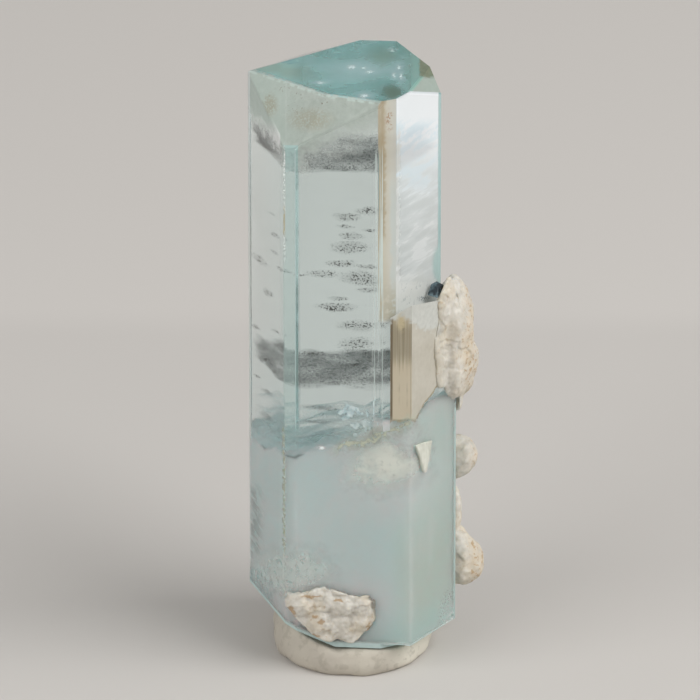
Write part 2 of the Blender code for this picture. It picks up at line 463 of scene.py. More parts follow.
END_FACE = through((-8.9, 0.7, 54.1), (3.9, -6.7, 54.4), (4.1, 6.8, 54.0))
LEFT_FACET = through((-8.95, 0.7, 54.1), (-6.2, -1.9, 54.1), (-5.7, -6.6, 49.3))
FRONT_FACET = through((-4.8, -7.0, 49.9), (2.65, -7.48, 54.3), (-3.26, -5.2, 54.2))
RIGHT_FACET = through((4.83, -5.37, 54.35), (7.64, -1.37, 52.5), (5.78, -2.1, 54.3))
FOOT_CHIP = through((-1.5, -7.2, 2.5), (-5.87, -6.0, 4.3), (-8.92, 0.72, 5.1))
print("the end face looks along", [round(part, 3) for part in END_FACE[1]])

# %% [markdown]
# ## What sits on the crystal's faces
#
# The faces aren't all clear. The two broken facets at the upper left are frosted, the narrow face at
# the front right is coated tan, and the layer that overgrew the lower right is brown and cream. These
# films are mixed over the glass as a matt shader, each inside a mask: a mask is 1 on the plane of its
# face, and its edges are moved by noise. One material holds them all, because the crystal is one solid
# with one volume, and two materials on one volume would confuse the absorption.
#
# Each film is laid with three things: its mask, its colour, and how much of the glass it hides. The
# numbers in a mask are millimetres: `above(48.0, 3.0)` starts at 48 mm with an edge 3 mm soft. `spot`
# takes a middle, two half sizes and a softness. The frost comes first. It is a broken surface, so it
# is a mottled grey green, and its lower edge wanders in two round lobes.

# %% Aquamarine material: frost on the upper end
beryl = Look("aquamarine")
mix = beryl.mix
spot = beryl.spot
x_mm, y_mm, rise_mm = beryl.x, beryl.y, beryl.rise
front_half = y_mm.below(0.0, 0.5)
fine = beryl.noise(2.2, detail=3.0)
patchy = beryl.noise(0.45, detail=3.0)
dust = beryl.noise(6.0, detail=2.0)
on_end = beryl.on_plane(END_FACE)
on_left_facet = beryl.on_plane(LEFT_FACET)
on_front_facet = beryl.on_plane(FRONT_FACET)
on_right_facet = beryl.on_plane(RIGHT_FACET)

film = Deposit(beryl, (0.46, 0.52, 0.47))
lay = film.add
lay(on_end, mix(patchy, (0.16, 0.42, 0.385), (0.23, 0.46, 0.4)), 0.4)
pale_end = on_end * x_mm.below(-3.9, 4.0)
lay(pale_end, (0.33, 0.47, 0.405), 0.62)
broken = on_left_facet.most(on_front_facet)
frost_spread = patchy.sway(4.5) + fine.sway(2.4)
mottled = mix((fine * 0.6 + patchy * 0.4 - 0.5) * 2.2 + 0.5, (0.3, 0.355, 0.305), (0.48, 0.535, 0.485))
greened = x_mm.below(-5.0, 3.5) * 0.6
frost = mix(greened, mottled, (0.42, 0.51, 0.45))
lobe_left = rise_mm + x_mm * 1.13 + frost_spread
lobe_front = rise_mm - x_mm * 0.5 + frost_spread
round_corner = lobe_left.above(39.6, 2.6) * x_mm.below(-5.3, 1.2)
under_rim = lobe_front.above(47.6, 3.8) * x_mm.between(-6.0, 2.55, 0.9)
hazy = round_corner.most(under_rim) * y_mm.below(1.6, 0.5) * (1 - on_end)
lay(hazy, frost, 0.86)
lay(on_right_facet, mix(fine, (0.4, 0.47, 0.41), (0.5, 0.56, 0.5)), 0.78)
front_rim = (y_mm + x_mm * 0.386 + frost_spread * 0.16).below(-6.2, 0.5)
left_rim = (y_mm + x_mm * 1.037 + frost_spread * 0.16).below(-8.35, 0.7) * x_mm.below(-3.0, 0.5)
lay(on_end * front_rim.most(left_rim), (0.38, 0.51, 0.46), 0.72)
print("frost laid, nodes so far:", len(beryl.tree.nodes))

# %% [markdown]
# The end face is smooth, and what shows in it is the colour of the whole length of stone below. Under
# it lie a few small flaws that catch the light. Their glints and soft halos are painted on as pale
# spots, which are painted highlights. Two darker patches on it are painted reflections of the tan coat
# and the albite, seen inside the stone. The glints are round spots in a table, broken up by fine
# noise, since no two of them are alike.

# %% Aquamarine material: spots, painted glints and painted reflections on the end face
jag = fine.sway(1.1)
end_lengths = (x_mm + patchy.sway(1.3) + jag, y_mm + jag)
dark_corner = spot(-5.3, 2.4, 0.8, 0.8, 0.6, along=end_lengths) * on_end
lay(dark_corner, (0.05, 0.14, 0.2), 0.6)
clouded = beryl.noise(0.28, detail=3.0, shift=(3.0, 1.0, 0.0)).above(0.52, 0.3) * on_end
lay(clouded, (0.34, 0.59, 0.57), 0.32)
sheen = spot(0.9, 0.3, 2.6, 2.2, 1.7, along=end_lengths) * on_end
lay(sheen, (0.45, 0.67, 0.67), 0.3)
pale_right = x_mm.above(4.6, 2.0) * on_end
lay(pale_right, (0.3, 0.53, 0.455), 0.52)
GLINTS = (    # across, depth, half width, half depth on the end face, in millimetres
    (-0.05, 0.75, 0.34, 0.42), (1.5, -0.35, 0.32, 0.25), (1.0, 0.5, 0.25, 0.2), (1.0, -6.0, 0.38, 0.45),
    (3.6, -1.3, 0.14, 0.55), (4.15, -1.5, 0.12, 0.7), (4.0, 0.6, 0.11, 0.45), (3.45, 4.6, 0.14, 0.3),
    (-2.7, -2.8, 0.34, 0.18),
)
glint_lengths = (x_mm + jag * 0.45, y_mm + dust.sway(1.6))
# painted highlights: each glint and its soft halo are pale spots in the film
for across, depth, wide, deep in GLINTS:
    painted_halo = spot(across, depth, wide * 2.2, deep * 2.2, 1.9, along=end_lengths) * on_end
    lay(painted_halo, (0.5, 0.71, 0.73), 0.28)
    glint = spot(across, depth, wide, deep, 1.5, along=glint_lengths) * on_end
    lay(glint * dust.above(0.4, 0.25), (0.84, 0.93, 0.94), 0.8)
# painted reflections: two darker patches stand for the tan coat and the albite mirrored inside the stone
front_painted_reflection = spot(3.4, -5.3, 0.9, 1.9, 1.1, along=end_lengths) * on_end
lay(front_painted_reflection, (0.1, 0.165, 0.125), 0.85)
faint_painted_reflection = spot(2.7, 3.0, 1.2, 1.9, 1.0, along=end_lengths) * on_end
lay(faint_painted_reflection, (0.21, 0.34, 0.26), 0.45)
corner_stain = (x_mm + jag * 0.4).above(5.75, 0.2) * (rise_mm + jag * 0.5).above(53.5, 0.35)
stain_colour = mix(fine, (0.12, 0.15, 0.085), (0.27, 0.29, 0.2))
lay(corner_stain * on_end.most(on_right_facet), stain_colour, 0.9)
print("glints under the end face:", len(GLINTS))

# %% Aquamarine material: brown specks in the frost
SIDE_BASE = (0.64, 0.68, 0.65)      # what the soft rims of the patches on the sides fade to
film.colour = mix(on_end.most(on_right_facet).most(hazy), SIDE_BASE, film.colour)
GRIME = (0.15, 0.135, 0.08)
specked = dust.above(0.615, 0.05) * fine.above(0.5, 0.12) * broken
SPECKS = (    # across, rise, half width, half height, cover
    (-7.3, 51.0, 0.5, 0.9, 0.6), (-4.9, 50.2, 1.2, 0.7, 0.5), (-3.4, 49.2, 0.7, 0.6, 0.7),
    (-5.9, 52.4, 0.5, 0.3, 0.9), (-4.9, 51.6, 0.7, 0.4, 0.6), (-2.6, 50.9, 0.6, 0.4, 0.5),
)
for across, height, wide, tall, cover in SPECKS:
    lay(specked * spot(across, height, wide, tall, 1.2), GRIME, cover)
brownish = spot(-3.6, 49.4, 1.6, 0.9, 1.3).most(spot(-7.1, 50.8, 0.6, 0.9, 1.2))
lay(brownish * broken * dust.above(0.45, 0.2), (0.335, 0.335, 0.25), 0.28)
chipped = broken * beryl.on_plane(END_FACE, within=0.3) * fine.above(0.5, 0.15)
lay(chipped, (0.5, 0.6, 0.55), 0.6)
print("specks in the frost:", len(SPECKS))

# %% [markdown]
# A narrow face at the front right is coated with tan film, darker along its left side and rusty near
# the top. The film thins out half way down, where grey shows through. Long thin noise, stretched
# along the crystal, gives the fine upright lines of growth.

# %% Aquamarine material: the tan coat at the front right
striae = beryl.noise(2.4, detail=3.0, stretch=(1.0, 1.0, 60.0))
fine_striae = beryl.noise(6.0, detail=2.0, stretch=(1.0, 1.0, 90.0))
on_tan = beryl.on_plane(upright(300, upper_faces)) * rise_mm.above(30.4, 0.6)
coat = beryl.ramp(
    x_mm / 1.6 - 1.5 + fine.sway(0.25),
    (0.0, (0.48, 0.4, 0.26)), (0.16, (0.6, 0.555, 0.43)),
    (0.55, (0.63, 0.61, 0.53)), (1.0, (0.6, 0.6, 0.55)),
)
lay(on_tan, coat, 0.8)
brown_side = on_tan * (x_mm + fine.sway(0.5)).below(2.8, 0.3) * rise_mm.above(38.2, 1.0)
lay(brown_side * striae.above(0.42, 0.2), (0.44, 0.35, 0.215), 0.7)
reddish = on_tan * spot(3.15, 49.3, 0.35, 0.9, 1.0) * fine.above(0.5, 0.12)
lay(reddish * dust.above(0.48, 0.1), (0.44, 0.29, 0.18), 0.5)
bare = on_tan * rise_mm.below(43.5, 4.0) * (x_mm + patchy.sway(1.1)).above(3.35, 0.3)
lay(bare, (0.58, 0.62, 0.585), 0.7)
browner = on_tan * rise_mm.below(33.5, 3.0)
lay(browner * fine.above(0.4, 0.3), (0.47, 0.435, 0.33), 0.72)
print("tan coat laid, nodes so far:", len(beryl.tree.nodes))

# %% [markdown]
# A second layer of beryl grew over the lower right, a little proud of the older faces. Its upper part
# is coated: a ribbed brown block in front, cream beside it, and a white ledge along the top. The mask
# measures how far a point stands proud of the older faces, so the coat stays on the layer.

# %% Aquamarine material: the growth layer
LAYER_EDGE = 21.05          # rise of the coat's lower edge at the layer's corner
CORNER_ACROSS = 5.43        # where that corner is
EDGE_CLIMBS = 1.62          # how steeply the edge climbs to the right of the corner


def proud_of(at):
    """How far a point of the surface stands in front of an upper face."""
    return beryl.along(bearing(at)) - (AXIS.dot(bearing(at)) + upper_faces[at]) / MM


proud = proud_of(330).most(proud_of(300)).above(0.2, 0.1)
coat_edge = (x_mm - CORNER_ACROSS).most(0.0) * EDGE_CLIMBS + LAYER_EDGE
over_edge = rise_mm - coat_edge + patchy.sway(1.6)
coated = proud * over_edge.above(0.0, 0.35)
cream = mix(patchy * 0.5 + fine * 0.5, (0.44, 0.405, 0.32), (0.68, 0.645, 0.56))
lay(coated, cream, 0.93)
on_block = coated * x_mm.between(3.22, 5.1, 0.1) * y_mm.below(-6.4, 0.2)
block = beryl.ramp(
    striae * 0.45 + fine_striae * 0.55,
    (0.42, (0.28, 0.235, 0.15)), (0.47, (0.44, 0.38, 0.26)),
    (0.51, (0.62, 0.56, 0.44)), (0.56, (0.42, 0.355, 0.235)),
)
lay(on_block, block, 0.95)
lighter = on_block * rise_mm.below(26.4, 1.8) * (patchy * 0.8 + fine_striae * 0.5).above(0.52, 0.25)
lay(lighter, (0.58, 0.51, 0.38), 0.4)
shadowed = on_block * rise_mm.between(26.8, 30.2, 1.6) * (striae * 0.8 + 0.35)
lay(shadowed * 0.8, (0.27, 0.235, 0.165), 0.36)
second_groove = x_mm.near(5.02, 0.03, 0.05) * 0.4
groove = on_block * x_mm.near(3.36, 0.1, 0.08).most(second_groove)
lay(groove, (0.16, 0.12, 0.07), 0.95)
ledge_from = (x_mm - CORNER_ACROSS).above(0.0, 1.2) * -0.9 + 30.5
ledge_white = coated * (rise_mm - ledge_from + fine.sway(1.6)).above(0.0, 0.7)
lay(ledge_white, mix(fine, (0.48, 0.49, 0.45), (0.7, 0.71, 0.66)), 0.95)
ochre = coated * spot(4.2, 30.3, 0.35, 0.75, 1.2) * fine.above(0.42, 0.2)
lay(ochre, (0.55, 0.47, 0.3), 0.7)
rust_edge = proud * over_edge.size().below(0.16, 0.2) * fine.above(0.45, 0.2)
lay(rust_edge, (0.36, 0.28, 0.15), 0.65)
print("growth layer coated, nodes so far:", len(beryl.tree.nodes))

# %% [markdown]
# Behind the right face lie white feathers: healed cracks that slant up to the right. Noise read in
# slanted lengths, and stretched along one of them, draws their strokes. The face's bluish white upper
# end, with its cool strokes, is a painted reflection of the glowing sheet, laid over the mirror image
# that the sheet itself gives. At the foot of the face the film is rough, with a few dark crumbs beside
# the schorl chip.

# %% Aquamarine material: white feathers behind the right face, and a painted reflection on it
on_right = beryl.on_plane(upright(330, upper_faces)) * x_mm.above(3.74, 0.06)
stroke = beryl.joined(rise_mm - x_mm * 0.75, rise_mm * 0.5 + x_mm)
stroke_noise = beryl.noise(1.25, detail=4.0, stretch=(1.0, 3.6, 1.0), on=stroke)
lay(on_right, (0.66, 0.69, 0.69), 0.52)
# painted reflection: the bluish white upper end and its cool strokes stand for the glowing sheet mirrored in
# the face
reflected_upper_right = on_right * rise_mm.above(46.0, 5.0)
lay(reflected_upper_right, (0.87, 0.905, 0.94), 0.66)
cool_reflected_streaks = reflected_upper_right * (stroke_noise * 0.7 + fine * 0.3).above(0.5, 0.16) * rise_mm.below(49.2, 1.4)
lay(cool_reflected_streaks, (0.66, 0.8, 0.88), 0.62)
creamy_side = on_right * (x_mm + fine.sway(0.9)).below(4.1, 0.12) * rise_mm.below(48.0, 3.0)
lay(creamy_side, (0.6, 0.61, 0.57), 0.75)
lower_right = on_right * rise_mm.below(44.5, 4.0)
lay(lower_right * stroke_noise.below(0.46, 0.24), (0.61, 0.63, 0.62), 0.45)
feathers = lower_right * stroke_noise.above(0.52, 0.2) * rise_mm.above(33.5, 2.5)
lay(feathers, (0.78, 0.8, 0.8), 0.62)
soft_reflected_stroke = on_right * stroke_noise.above(0.56, 0.16) * rise_mm.between(43.0, 48.0, 2.5)
lay(soft_reflected_stroke, (0.68, 0.78, 0.84), 0.35)
crumbs = on_right * spot(6.15, 32.6, 0.5, 0.22, 1.2) * dust.above(0.5, 0.06)
rough_foot = on_right * rise_mm.between(30.5, 34.5, 1.6) * fine.above(0.3, 0.3)
lay(rough_foot, (0.72, 0.73, 0.7), 0.75)
lay(crumbs, (0.14, 0.17, 0.19), 0.65)
print("feathers laid, nodes so far:", len(beryl.tree.nodes))

# %% [markdown]
# Where two faces meet, light from deep in the stone shows as teal strips, and worn edges sparkle. One
# edge carries a thin broken line of yellow-brown stain. These are narrow bands in `across`, which
# noise breaks into dots.

# %% Aquamarine material: teal strips, growth lines and the edge stain
teal_strip = on_right * (x_mm + patchy.sway(0.1)).above(7.38, 0.08)
lay(teal_strip, (0.28, 0.46, 0.45), 0.75)
bulge = on_right * spot(7.75, 35.8, 0.85, 2.0, 0.5)
lay(bulge, (0.34, 0.52, 0.5), 0.7)
on_left_bevel = beryl.on_plane(upright(240, upper_faces))
lay(on_left_bevel * rise_mm.above(19.0, 3.0), (0.38, 0.56, 0.53), 0.34)
edge_line = x_mm.near(-4.92, 0.05, 0.05) * rise_mm.between(20.0, 46.5, 1.0)
lay(edge_line * front_half, (0.5, 0.64, 0.63), 0.75)
near_edge = (x_mm + fine.sway(0.2)).near(-5.87, 0.085, 0.08) * front_half
lay(near_edge * rise_mm.between(37.5, 46.8, 1.5), (0.5, 0.6, 0.56), 0.6)
sparkle = near_edge * rise_mm.between(36.0, 46.8, 1.5)
lay(sparkle * dust.above(0.52, 0.06), (0.88, 0.92, 0.9), 0.9)
lay(near_edge * rise_mm.between(38.5, 41.2, 0.8) * fine.above(0.46, 0.1), (0.46, 0.41, 0.26), 0.8)
wide_edge = (x_mm + fine.sway(0.3)).near(-5.95, 0.13, 0.1) * front_half
dotted = wide_edge * rise_mm.between(4.0, 20.5, 1.0) * (fine * 0.5 + dust * 0.5).above(0.48, 0.12)
lay(dotted, (0.42, 0.44, 0.28), 0.55)
on_left = beryl.on_plane(upright(210, upper_faces)) * x_mm.below(-6.2, 0.1)
lay(on_left * rise_mm.between(28.5, 48.5, 2.5), (0.78, 0.79, 0.77), 0.16)
left_edge = x_mm.near(-9.0, 0.16, 0.1) * y_mm.below(0.9, 0.4)
lay(left_edge * rise_mm.above(19.5, 3.0), (0.6, 0.635, 0.61), 0.6)
on_front = beryl.on_plane(upright(270, upper_faces))
line_zone = on_front * x_mm.between(1.7, 2.9, 0.3) * rise_mm.between(18.5, 46.5, 1.5)
lay(line_zone * fine_striae.above(0.55, 0.06), (0.66, 0.76, 0.73), 0.45)
lay(line_zone * fine_striae.below(0.4, 0.06), (0.28, 0.36, 0.34), 0.14)
print("edges drawn, nodes so far:", len(beryl.tree.nodes))

# %% [markdown]
# The lower half is cloudy inside, and its faces carry a green haze, a cream patch, a rust vein under
# the clear part, and a pale chipped rim at the foot. The patches are ellipses whose lengths drift with
# broad noise, so that none has a drawn outline.

# %% Aquamarine material: patches on the cloudy lower half
on_lower = rise_mm.below(20.5, 0.8) * front_half
warp = patchy.sway(4.5)
drifted = (x_mm + warp + fine.sway(1.6), rise_mm + warp * 0.6 + fine.sway(1.2))
green_patch = on_lower * spot(2.9, 16.6, 3.0, 2.3, 1.2, along=drifted)
lay(green_patch, mix(fine, (0.78, 0.9, 0.81), (0.88, 0.95, 0.87)), 0.34)
bright_patch = on_lower * spot(3.3, 17.1, 2.5, 1.8, 1.6, along=drifted) * fine.above(0.2, 0.5)
lay(bright_patch, (0.88, 0.9, 0.8), 0.66)
hazy_front = spot(1.2, 20.2, 3.0, 1.0, 1.3, along=drifted) * front_half
lay(hazy_front, (0.64, 0.7, 0.67), 0.35)
OLIVE_RUST = (0.22, 0.185, 0.09)
off_vein = rise_mm - 18.3 - (x_mm + 1.1) * 0.4 + patchy.sway(2.6) + fine.sway(1.0)
rust_vein = off_vein.size().below(0.24, 0.22) * x_mm.between(-1.3, 5.0, 0.6) * front_half
lay(rust_vein * fine.above(0.4, 0.14), OLIVE_RUST, 0.92)
rust_wash = off_vein.size().below(0.7, 0.9) * x_mm.between(-1.8, 5.4, 1.2) * front_half
lay(rust_wash * fine.above(0.4, 0.3), (0.5, 0.53, 0.42), 0.4)
sparkling = spot(-2.65, 18.4, 0.24, 0.15, 1.2) * front_half
lay(sparkling, (0.93, 0.97, 0.97), 0.9)
slanting = beryl.joined(x_mm * 1.4 + rise_mm * 0.8, rise_mm - x_mm)
slant = beryl.noise(1.7, detail=3.0, stretch=(1.0, 5.0, 1.0), on=slanting)
# painted reflection: dark slanting streaks at the far left stand for growth lines mirrored in the faces
reflected_streaks = x_mm.below(-8.0, 0.9) * rise_mm.between(7.8, 14.6, 1.2) * slant.above(0.5, 0.14)
lay(reflected_streaks * y_mm.below(0.4, 0.5), (0.27, 0.31, 0.3), 0.42)
low_left = x_mm.below(-7.0, 1.5) * rise_mm.below(6.8, 1.6) * fine.above(0.4, 0.3)
lay(low_left, (0.36, 0.5, 0.51), 0.45)
pale_low = on_lower * spot(-5.2, 6.6, 3.2, 2.0, 1.3, along=drifted) * fine.above(0.35, 0.3)
lay(pale_low, (0.74, 0.81, 0.76), 0.42)
above_chip = beryl.along(FOOT_CHIP[1]) - FOOT_CHIP[0].dot(FOOT_CHIP[1]) / MM
foot_edge = above_chip.below(0.3, 0.4).most(beryl.z.below(3.05, 0.4)) * y_mm.below(5.0, 1.0)
lay(foot_edge, mix(fine, (0.42, 0.58, 0.57), (0.62, 0.74, 0.72)), 0.85)
# painted highlights: white sparkles near the lower right corner
corner_sparkles = spot(8.7, 1.9, 0.9, 2.2, 1.2)
lay(corner_sparkles * dust.above(0.57, 0.06), (0.9, 0.95, 0.94), 0.8)
lower_edge = x_mm.above(8.84, 0.1) * rise_mm.below(22.5, 1.0) * y_mm.below(1.0, 0.5)
lay(lower_edge, (0.48, 0.62, 0.6), 0.7)
print("lower half laid, nodes so far:", len(beryl.tree.nodes))

# %% [markdown]
# Under the films is the glass: a Principled shader with full transmission, a little rougher on the
# broken facets, and a Volume Absorption node. The films are matt, and one Mix Shader goes from glass
# to film by the cover. The frost is deep and soft, so its edges don't show as creases: its normals
# lean to one direction, which hides where one facet ends and the next begins.

# %% Aquamarine material: glass under the films
ABSORPTION = 11.0
MOST_COVER = 0.97           # a little glass shows through even the thickest film
MATT = 0.42
BUMP_DEPTH = 0.03 * MM
GLASS_BUMP_DEPTH = 0.02 * MM
FROST_FACING = (-0.3, -0.8, 0.52)
streak = beryl.noise(1.0, detail=3.0, stretch=(0.12, 0.12, 40.0))
hollow = beryl.noise(0.3, detail=2.0) * on_end
relief = beryl.bump(streak * 0.25 + hollow * 8.0 + dust * broken * 4.0, GLASS_BUMP_DEPTH)
roughness = broken * 0.36 + on_end * 0.1 + 0.02
glass = beryl.shader(
    (1.0, 1.0, 1.0), Roughness=roughness, IOR=BERYL_INDEX, Transmission_Weight=1.0, Normal=relief
)
grain = beryl.bump(fine * 0.5 + striae * 0.5 + broken * (dust * 1.5 + patchy * 5.0), BUMP_DEPTH, 0.6)
lean = hazy * 0.8
leaned = beryl.node("ShaderNodeVectorMath", {"operation": "SCALE"}, {0: FROST_FACING, "Scale": lean})
softened = beryl.node(
    "ShaderNodeVectorMath", {"operation": "MULTIPLY_ADD"}, {0: grain, 1: 1 - lean, 2: leaned}
)
matt = beryl.shader(film.colour, Roughness=MATT, Specular_IOR_Level=0.5, Normal=softened)
beryl.finish(beryl.blend(film.cover.least(MOST_COVER), glass, matt))
absorb = beryl.node(
    "ShaderNodeVolumeAbsorption", {}, {"Color": (0.05, 0.86, 0.9, 1.0), "Density": ABSORPTION}
)
beryl.tree.links.new(absorb.socket, beryl.output.inputs["Volume"])
print("aquamarine nodes:", len(beryl.tree.nodes))

# %% [markdown]
# The prism's mesh is the merged copy of the frame's solid. Its long sharp edges get a bevel a twentieth
# of a millimetre wide. The edges round the two frosted facets stay as they are, because a bright bevel
# line would show through the frost.

# %% Prism mesh
EDGE_WIDTH = 0.05 * MM
SHORT_EDGE = 1.2 * MM       # edges shorter than this stay as they are
SHARP_FROM = math.radians(8)
SAME_FACING = 0.999         # two normals whose dot product is above this face the same way


def touches(edge, *planes):
    """Whether a face beside this edge lies in one of the planes."""
    return any(face.normal.dot(normal) > SAME_FACING for face in edge.link_faces for _, normal in planes)


def bevelled(bm, edges, width):
    """Bevels these edges in two steps."""
    bmesh.ops.bevel(
        bm, geom=edges, offset=width, segments=2, profile=0.5, material=-1, affect="EDGES",
        clamp_overlap=True,
    )
    bmesh.ops.recalc_face_normals(bm, faces=bm.faces)
    return bm


bm = merged_copy("aquamarine_crystal")
sharp = [
    edge for edge in bm.edges
    if edge.is_convex and edge.calc_length() > SHORT_EDGE and edge.calc_face_angle(0.0) > SHARP_FROM
    and not touches(edge, LEFT_FACET, FRONT_FACET)
]
prism = made_object("beryl_prism", bevelled(bm, sharp, EDGE_WIDTH), beryl.material)
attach(prism, "root")
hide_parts("aquamarine_crystal")
print("bevelled edges:", len(sharp), "prism faces:", len(prism.data.polygons))

# %% [markdown]
# ## The cloudy foot
#
# The lower half of the crystal is full of tiny fluid inclusions, which scatter light like milk. They
# are inside the clear stone, so the cloud is a mesh of its own, just under the crystal's faces, and the
# clear stone round it gives it its gloss. Light wanders a few millimetres through it before it comes
# out, so it has subsurface scattering. Its upper end follows an old growth surface: uneven, and higher
# on the right.

# %% Cloud mesh
SKIN = 0.11 * MM            # clear stone between the cloud and the crystal's faces
CLOUD_VOXEL = 0.28 * MM
BLOCK = 160 * MM            # a block larger than the crystal, to cut from
WELD = 1e-7                 # metres: points nearer to a cut than this lie on it


def cleaved(planes):
    """A convex solid cut out of a block by planes, each a point and an outward normal."""
    bm = bmesh.new()
    bmesh.ops.create_cube(bm, size=BLOCK)
    for point, normal in planes:
        everything = bm.verts[:] + bm.edges[:] + bm.faces[:]
        cut = bmesh.ops.bisect_plane(
            bm, geom=everything, dist=WELD, plane_co=point, plane_no=normal, clear_outer=True
        )
        rim = [part for part in cut["geom_cut"] if isinstance(part, bmesh.types.BMEdge)]
        if rim:
            bmesh.ops.edgeloop_fill(bm, edges=rim)
    return bm


def gathered(*bodies):
    """One bmesh that holds several bodies. They may overlap."""
    whole = bmesh.new()
    for body in bodies:
        part = bpy.data.meshes.new("part")
        body.to_mesh(part)
        body.free()
        whole.from_mesh(part)
        bpy.data.meshes.remove(part)
    return whole


def remeshed(bm, voxel):
    """The same shape in even small quads, with overlapping bodies joined."""
    draft = made_object("draft", bm)
    step = draft.modifiers.new("remesh", "REMESH")
    step.mode = "VOXEL"
    step.voxel_size = voxel
    step.use_smooth_shade = True
    evaluated = draft.evaluated_get(bpy.context.evaluated_depsgraph_get())
    done = bmesh.new()
    done.from_mesh(evaluated.to_mesh())
    evaluated.to_mesh_clear()
    bpy.data.objects.remove(draft)
    return done


def upright_cut(at, reaches):
    """An upright plane this far from the axis, in metres."""
    return AXIS + bearing(at) * reaches, bearing(at)


def bottom_cut(height):
    return UP * height, -UP


foot_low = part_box("aquamarine_crystal")[0].z
SLOPE_TOP = through((-5.9, -6.0, 20.7), (4.0, -6.6, 22.9), (-8.9, 0.7, 19.0))
LAYER_TOP_RISES = 1.5 * MM      # the cloud reaches this much higher in the growth layer
LAYER_BACK = 4.7 * MM           # the layer's cloud ends this far behind the axis
LAYER_LEFT = -3.0 * MM          # and starts this far to the right of it
top_point, top_normal = SLOPE_TOP
chip_point, chip_normal = FOOT_CHIP
body_cuts = [upright_cut(at, far - SKIN) for at, far in upper_faces.items()]
body_cuts += [SLOPE_TOP, bottom_cut(foot_low + SKIN), (chip_point + chip_normal * SKIN, -chip_normal)]
layer_cuts = [upright_cut(at, lower_faces[at] - SKIN) for at in (30, 330, 270, 300)]
layer_cuts += [upright_cut(90, LAYER_BACK), upright_cut(180, LAYER_LEFT)]
layer_cuts += [(top_point + UP * LAYER_TOP_RISES, top_normal), bottom_cut(foot_low + 2.5 * SKIN)]
cloud_mesh = remeshed(gathered(cleaved(body_cuts), cleaved(layer_cuts)), CLOUD_VOXEL)
SWELLS = ((0.3, 1.0), (1.1, 0.35))      # how many in a millimetre, and their height in millimetres
cloud_mesh.normal_update()
for vert in cloud_mesh.verts:
    if vert.normal.dot(top_normal) > 0.5:
        vert.co.z += sum(noise.noise(vert.co / MM * many) * high for many, high in SWELLS) * MM
print("cloud faces:", len(cloud_mesh.faces))

# %% Cloud material
milk = Look("cloudy_beryl")
drift = milk.noise(0.14, detail=3.0)
wisp = milk.noise(0.55, detail=4.0, stretch=(1.0, 1.0, 2.5))
tone = milk.mix(drift, (0.775, 0.935, 0.91), (0.865, 0.96, 0.935))
# painted shade: the cloud is made darker towards the lower right
shaded_low_right = milk.x.above(4.2, 3.0) * (milk.z.below(13.0, 6.0) * 0.45 + 0.55)
painted_shade = milk.mix(shaded_low_right * 0.9, tone, (0.75, 0.835, 0.775))
pale = milk.mix(wisp.above(0.62, 0.25) * 0.35, painted_shade, (0.9, 0.95, 0.92))
# painted light: the cloud is paler behind the cream patch and above the albite at the foot, against the shade
# they cast on it
painted_light_zone = milk.spot(2.9, 16.0, 4.0, 3.6, 1.3).most(milk.spot(-2.0, 3.0, 5.0, 3.0, 1.3)) * 0.8
lit = milk.mix(painted_light_zone, pale, (0.9, 0.965, 0.945))
teal_foot = milk.z.below(4.5, 6.0) * milk.x.above(-1.5, 3.0) * 0.7
cloudy = milk.mix(teal_foot, lit, (0.66, 0.9, 0.865))
body = milk.shader(
    cloudy, Roughness=1.0, Specular_IOR_Level=0.0, Subsurface_Weight=1.0, Subsurface_Scale=2.5 * MM,
    Subsurface_Radius=(0.8, 1.0, 1.0),
)
milk.finish(body)
cloud = made_object("cloudy_foot", cloud_mesh, milk.material)
cloud.data.shade_smooth()
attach(cloud, "root")

# %% [markdown]
# ## Veils, wisps and discs
#
# The clear half holds thin films of fluid. Two veils cross the whole crystal. Between them lie
# small round healed cracks, all level, one above the other. Seen nearly edge on they look like dark
# speckled dashes: there a film reflects a dark region by total internal reflection, and that dark
# reflection is painted into the sheets as a dark colour. From above they almost vanish, because
# little of a film lies along a steep line of sight. Each is a thin sheet of mesh inside the stone,
# opaque only where its noise says so. Paler sheets of the same kind lie over the cloud and soften
# its upper end.


# %% Film materials
# painted reflection: a fluid film seen nearly edge on shows dark by total internal reflection, painted here
# as its colour
DARK_REFLECTION = (0.12, 0.13, 0.125)


def film_look(name, colour, wash, speckle, patches=0.45, uneven=0.5, edge=0.5, denser_left=0.0):
    """A film of specks on a thin wash. It fades at its rim, by its own UV map, and when seen face on."""
    look = Look(name)
    uv = look.node("ShaderNodeUVMap", {"uv_map": "rim"}, {})
    split = look.node("ShaderNodeSeparateXYZ", {}, {"Vector": uv}, out=None)
    inward = Wire(look, split.outputs["X"])
    patch = look.noise(patches, detail=4.0, stretch=(1.8, 2.0, 1.0))
    dots = look.noise(6.0, detail=2.0, stretch=(1.0, 3.5, 1.0))
    rim = (inward + patch.sway(0.5)).above(edge * 0.5, edge)
    edgewise = look.node("ShaderNodeLayerWeight", {}, {"Blend": 0.5}, out="Facing").above(0.45, 0.5)
    thin = (patch.above(0.47, 0.4) * uneven + (1 - uneven)) * wash
    clumps = look.noise(1.5, detail=2.0, stretch=(1.0, 2.5, 1.0)).above(0.47, 0.22)
    specks = dots.above(0.555, 0.06) * speckle * (clumps * 0.75 + 0.25)
    denser = look.x.below(-5.2, 1.6) * denser_left + 1.0
    cover = ((thin + specks) * rim * edgewise * denser).least(0.96)
    film = look.shader(colour, Roughness=0.9, Specular_IOR_Level=0.0)
    clear = look.node("ShaderNodeBsdfTransparent", {}, {})
    look.finish(look.blend(cover, clear, film))
    return look.material


wide_film = film_look(
    "wide_veil", DARK_REFLECTION, 0.47, 0.36, patches=0.5, uneven=0.65, edge=0.35, denser_left=1.1
)
lens_film = film_look("dense_lens", DARK_REFLECTION, 0.42, 0.45, patches=0.9, uneven=0.6, edge=0.8)
